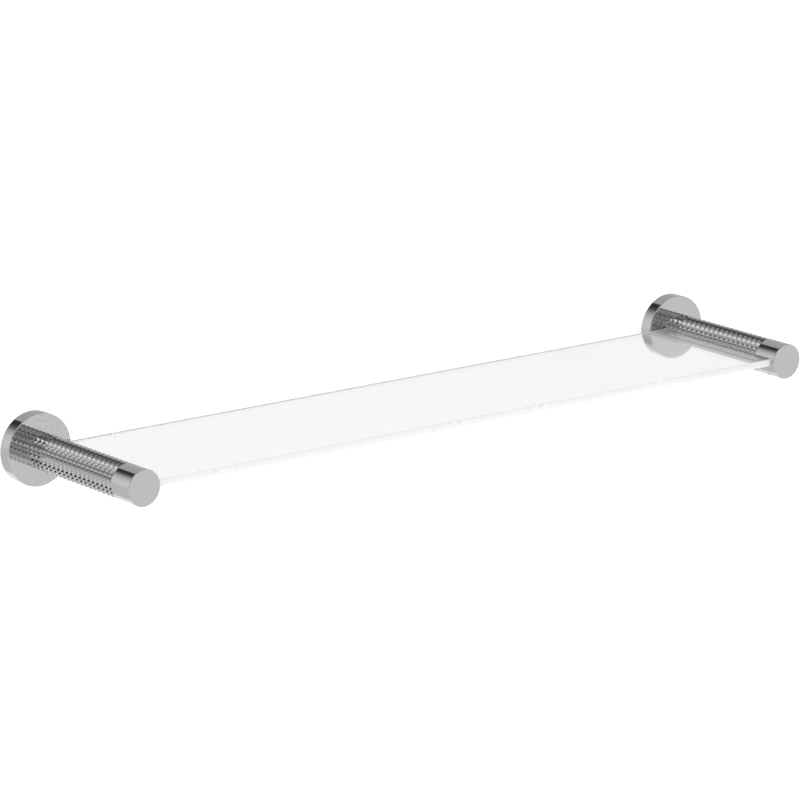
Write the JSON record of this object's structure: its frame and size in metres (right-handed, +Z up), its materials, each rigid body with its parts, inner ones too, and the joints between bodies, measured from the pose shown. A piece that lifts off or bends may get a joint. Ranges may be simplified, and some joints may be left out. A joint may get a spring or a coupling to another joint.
{
  "type": "glass wall shelf",
  "caption": "Wall shelf: a clear glass slab held in slotted round chrome posts with knurled sleeves, standing out from disc wall rosettes.",
  "frame": {"origin": "on the wall plane, midway between the posts, at the height of the post axes", "axes": "+X along the shelf, +Y into the wall (the posts stand out along -Y), +Z up"},
  "size_m": [0.608, 0.13, 0.05],
  "materials": {
    "polished_chrome": "polished mirror chrome plate",
    "clear_glass": "clear toughened glass with polished edges",
    "clear_gasket": "clear soft vinyl",
    "zinc_plate": "zinc-plated steel",
    "stainless_fastener": "plain stainless steel"
  },
  "bodies": {
    "root": {"glass_shelf": "clear_glass", "rosette_left": "polished_chrome", "rosette_right": "polished_chrome", "post_core_left": "polished_chrome", "post_core_right": "polished_chrome", "knurled_sleeve_left": "polished_chrome", "knurled_sleeve_right": "polished_chrome", "glass_gasket_left": "clear_gasket", "glass_gasket_right": "clear_gasket", "glass_grub_screw_left": "stainless_fastener", "glass_grub_screw_right": "stainless_fastener", "wall_plate_left": "zinc_plate", "wall_plate_right": "zinc_plate", "rosette_grub_screw_left": "stainless_fastener", "rosette_grub_screw_right": "stainless_fastener", "post_screw_left": "stainless_fastener", "post_screw_right": "stainless_fastener", "spring_washer_left": "stainless_fastener", "spring_washer_right": "stainless_fastener", "locating_pin_left": "stainless_fastener", "locating_pin_right": "stainless_fastener"}
  },
  "joints": []
}
